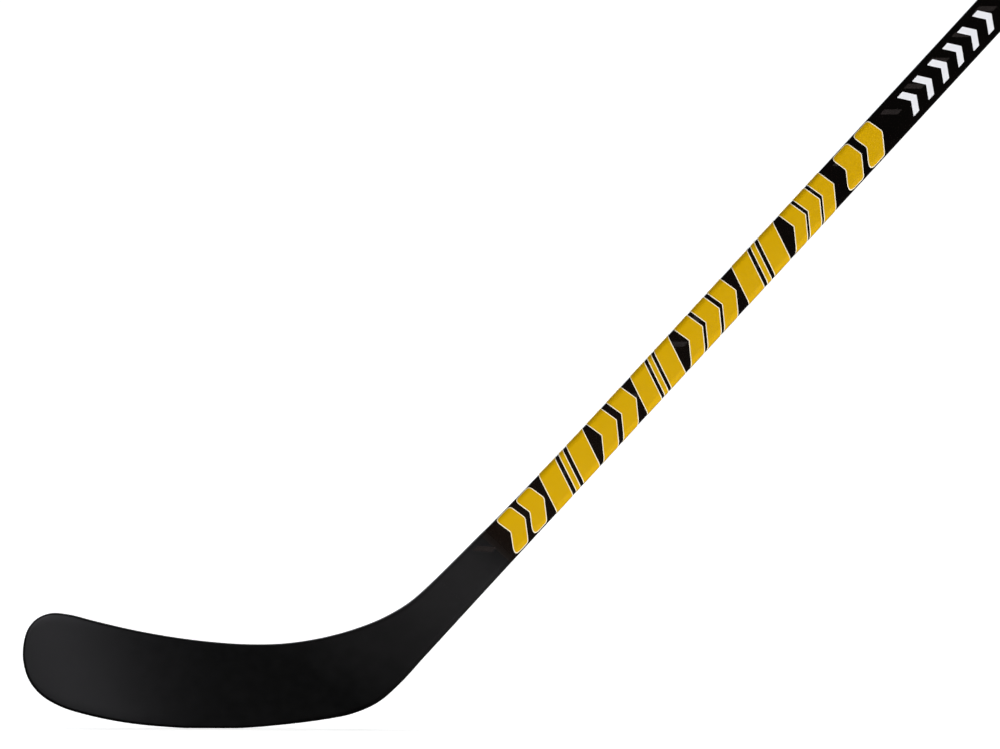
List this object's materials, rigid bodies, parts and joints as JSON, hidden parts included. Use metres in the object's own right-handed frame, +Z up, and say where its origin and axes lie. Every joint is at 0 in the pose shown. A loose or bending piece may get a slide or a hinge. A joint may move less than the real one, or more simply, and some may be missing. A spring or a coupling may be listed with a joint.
{
  "type": "ice hockey stick",
  "caption": "Left-handed senior ice hockey stick: curved laminate blade fused to a tapering hollow shaft with rounded corners and a butt plug.",
  "frame": {"origin": "the flat of the blade's sole, at the middle of the blade's thickness, where the stick rests on the ice at its playing lie", "axes": "+Z up, +X from the toe towards the shaft, +Y towards the forehand side; the shaft rises in the XZ plane at 47.35 degrees to +X"},
  "size_m": [1.2914, 0.0437, 1.1413],
  "materials": {
    "blade_laminate": "satin black, fine texture",
    "shaft_laminate": "gloss clear coat over black",
    "inner_laminate": "bare moulded carbon laminate",
    "core_foam": "rigid closed-cell foam",
    "epoxy": "cured adhesive",
    "liner_film": "thin moulding bladder film",
    "plug_plastic": "moulded black plastic, fine texture",
    "print_yellow": "yellow transfer print under clear coat",
    "print_white": "white transfer print under clear coat",
    "print_grey": "dark grey transfer print under clear coat"
  },
  "bodies": {
    "stick": {"blade_skin_backhand": "blade_laminate", "blade_skin_forehand": "blade_laminate", "blade_edge_sole": "blade_laminate", "blade_edge_top": "blade_laminate", "blade_core_lower": "core_foam", "blade_core_upper": "core_foam", "blade_rib": "inner_laminate", "hosel_core": "core_foam", "tenon": "inner_laminate", "tenon_core": "core_foam", "tenon_bond": "epoxy", "fuse_wrap": "blade_laminate", "shaft_tube": "shaft_laminate", "shaft_foam_stop": "core_foam", "shaft_liner": "liner_film"},
    "plug": {"butt_plug": "plug_plastic"}
  },
  "joints": [
    {"name": "plug_slide", "type": "slide", "parent": "stick", "child": "plug", "axis": [0.6775, 0, 0.7355], "range_m": [0, 0.075]}
  ]
}
